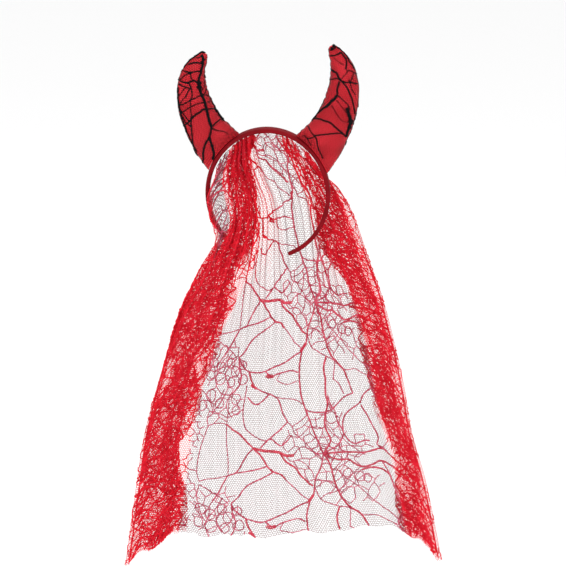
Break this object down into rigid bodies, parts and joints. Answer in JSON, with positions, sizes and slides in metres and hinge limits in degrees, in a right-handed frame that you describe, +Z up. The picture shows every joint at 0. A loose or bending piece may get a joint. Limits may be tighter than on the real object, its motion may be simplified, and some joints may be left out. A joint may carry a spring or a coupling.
{
  "type": "devil horns headband",
  "caption": "Covered hairband with two curved stuffed devil horns under black web lace and a long red web-lace veil hanging from the crown.",
  "frame": {"origin": "crown seat: the middle of the band's inner face at its top, where it sits on the head", "axes": "+X across the band to the viewer's right, +Z up, -Y to the wearer's front; the band's loop lies in the XZ plane and the veil hangs down -Z"},
  "size_m": [0.3512, 0.0431, 0.61],
  "materials": {
    "ribbon": "ribbed satin ribbon wound over a plastic band, deep crimson",
    "satin": "glossy red satin over polyester filling",
    "black_lace": "matte black nylon net with web figures",
    "lace": "red nylon net with web figures, cut edge"
  },
  "bodies": {
    "root": {"headband": "ribbon", "horn_left": "satin", "horn_right": "satin", "veil": "lace"}
  },
  "joints": []
}
